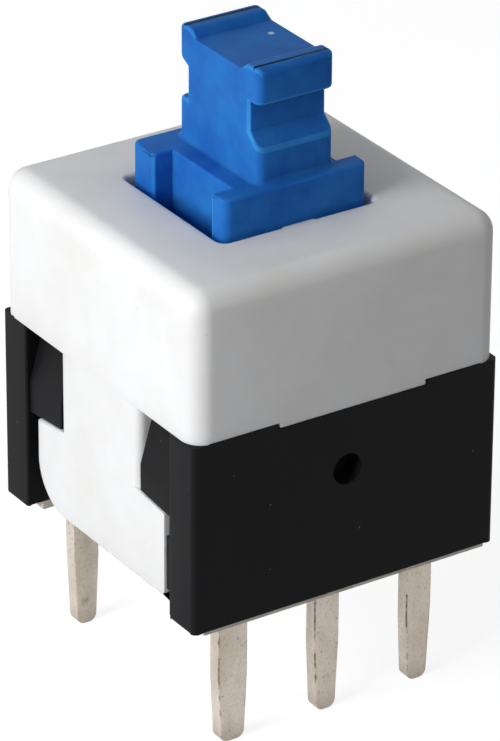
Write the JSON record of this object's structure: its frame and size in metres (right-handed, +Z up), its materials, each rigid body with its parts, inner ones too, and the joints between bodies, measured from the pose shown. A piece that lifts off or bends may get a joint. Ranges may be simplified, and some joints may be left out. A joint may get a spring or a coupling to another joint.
{
  "type": "pushbutton switch",
  "caption": "Square board-mounted latching pushbutton switch: white clip-on cover, black base, blue key-cap stem and flat solder pins.",
  "frame": {"origin": "middle of the body on the plane that lies on the circuit board, the underside of the seal plate", "axes": "+Z up along the plunger, X along the rows of terminals, front face at -Y"},
  "size_m": [0.008, 0.008, 0.0153],
  "materials": {
    "cover_white": "moulded white nylon, soft satin",
    "base_black": "moulded black thermoset, satin",
    "seal_pale": "pale insulating seal plate",
    "plunger_blue": "moulded blue acetal, soft satin",
    "spring_steel": "drawn spring wire",
    "pin_steel": "bright stainless wire",
    "contact_bronze": "silver-plated phosphor bronze",
    "terminal_tin": "tin-plated brass strip, slightly stained"
  },
  "bodies": {
    "housing": {"cover": "cover_white", "base": "base_black", "base_seal": "seal_pale", "return_spring": "spring_steel", "terminal_front_left": "terminal_tin", "terminal_front_middle": "terminal_tin", "terminal_front_right": "terminal_tin", "terminal_rear_left": "terminal_tin", "terminal_rear_middle": "terminal_tin", "terminal_rear_right": "terminal_tin"},
    "plunger_body": {"plunger": "plunger_blue", "moving_contact_front": "contact_bronze", "moving_contact_rear": "contact_bronze"},
    "latch_body": {"latch_pin": "pin_steel"}
  },
  "joints": [
    {"name": "plunger_press", "type": "slide", "parent": "housing", "child": "plunger_body", "axis": [0, 0, -1], "range_m": [0, 0.0025], "stiffness_N_per_m": 400, "deforming": ["return_spring"]},
    {"name": "latch_swing", "type": "hinge", "parent": "housing", "child": "latch_body", "pos_m": [0.0029, 0, 0.0007], "axis": [-1, 0, 0], "range_deg": [0, 21.62]}
  ],
  "couplings": [
    {"joint": "latch_swing", "follows": "plunger_press", "rad_per_m": 150.92}
  ]
}
